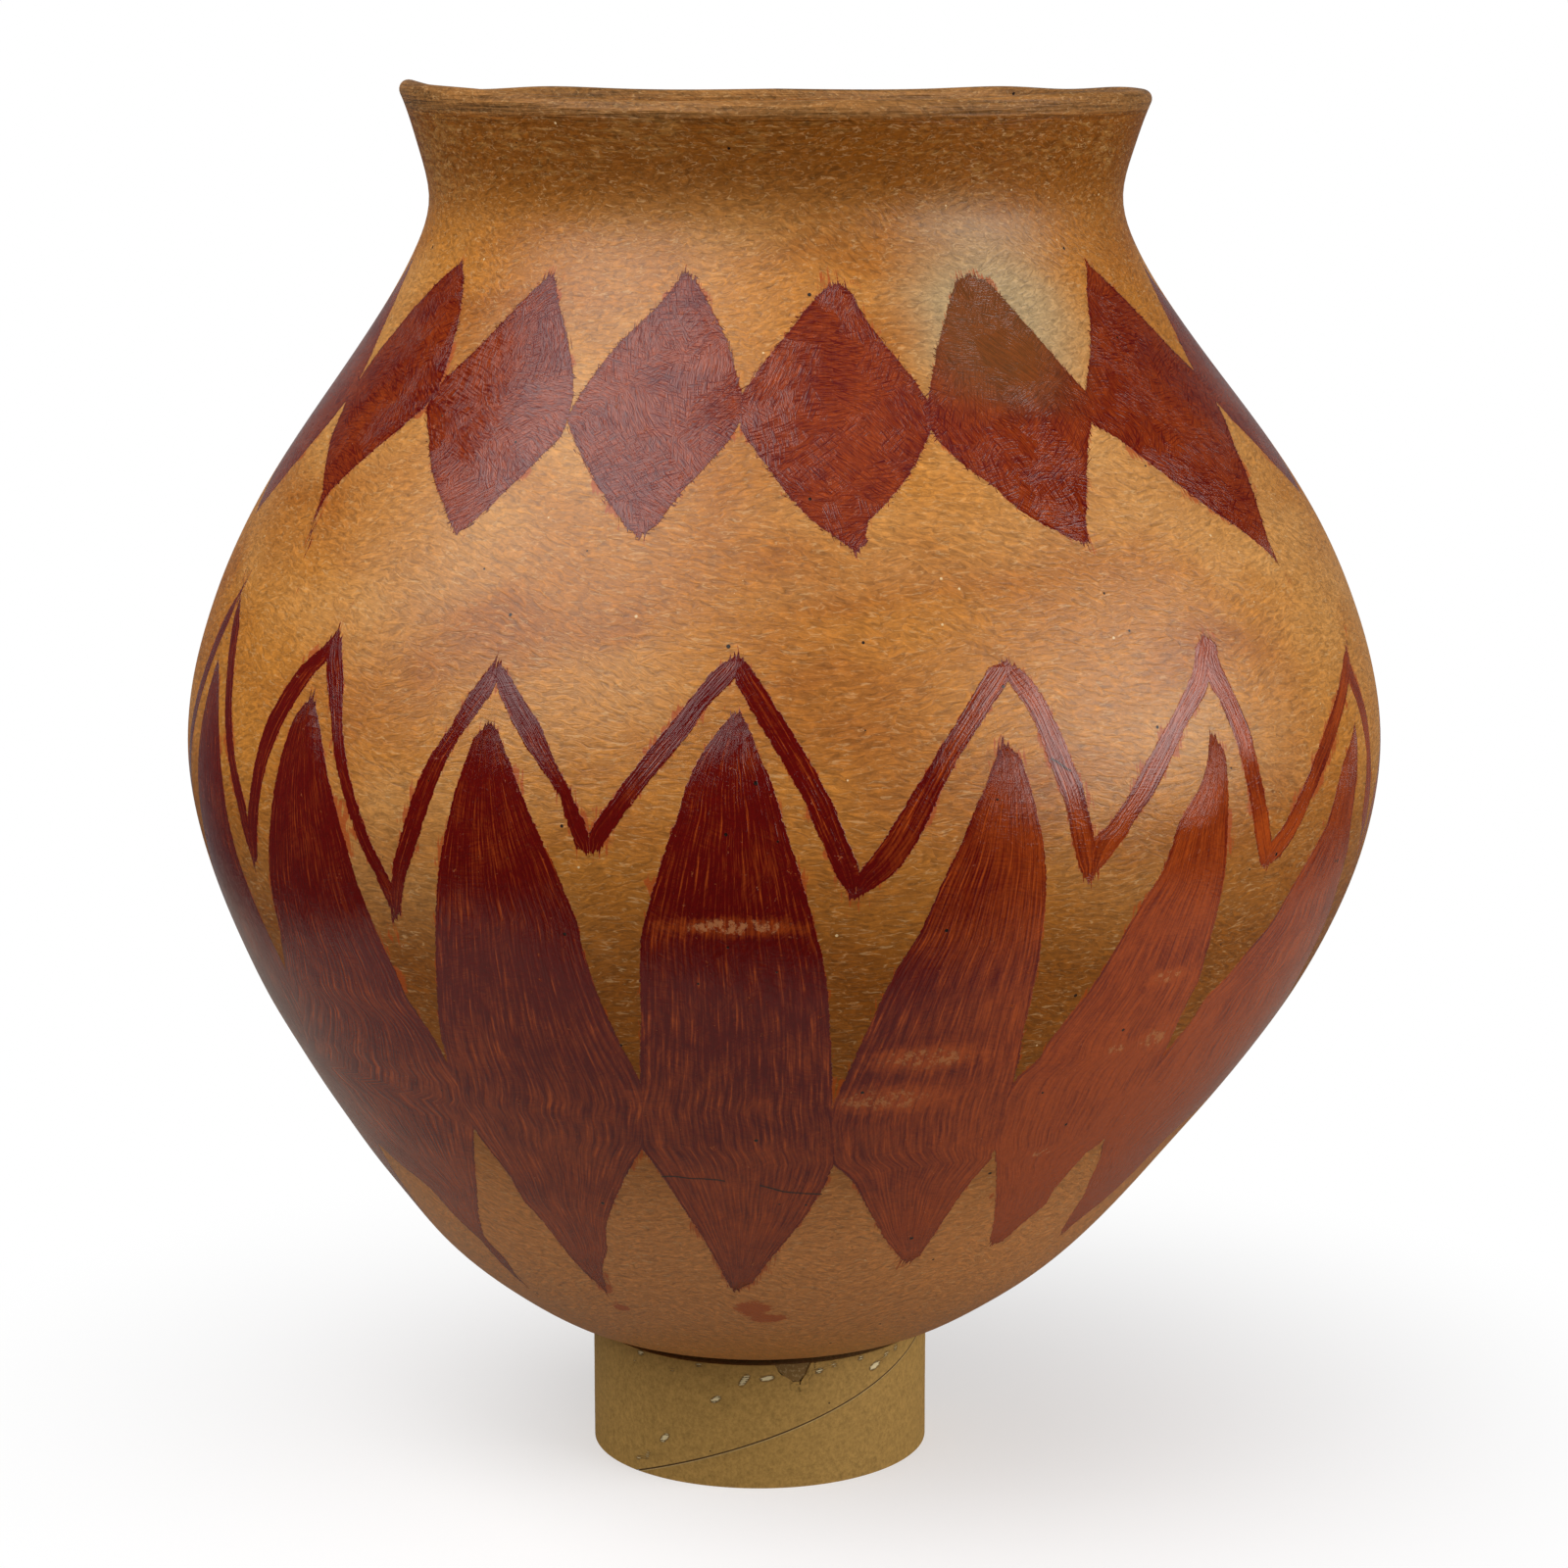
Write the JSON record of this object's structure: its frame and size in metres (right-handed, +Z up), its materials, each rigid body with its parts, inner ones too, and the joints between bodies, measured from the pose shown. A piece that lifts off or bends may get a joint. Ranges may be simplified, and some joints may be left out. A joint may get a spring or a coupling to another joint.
{
  "type": "olla",
  "caption": "Round-bodied burnished clay storage pot with a flared lip and slip-painted bands, on a cut cardboard tube ring.",
  "frame": {"origin": "on the floor, straight under the middle of the belly", "axes": "+Z up out of the mouth; -Y towards the side that the picture shows; the foot and the ring stand 7 mm towards -X, because the pot leans"},
  "size_m": [0.332, 0.332, 0.384],
  "materials": {
    "burnished_clay": "low-fired earthenware, stone-burnished to a satin, painted with red iron slip",
    "tube_board": "wound paperboard plies, sawn edges, matt",
    "kraft_face": "smooth kraft paper, matt, rubbed"
  },
  "bodies": {
    "ring": {"ring_core": "tube_board", "ring_face_ply": "kraft_face"},
    "olla": {"olla": "burnished_clay"}
  },
  "joints": [
    {"name": "olla_lift", "type": "slide", "parent": "ring", "child": "olla", "axis": [0, 0, 1], "range_m": [0, 0.1]}
  ]
}
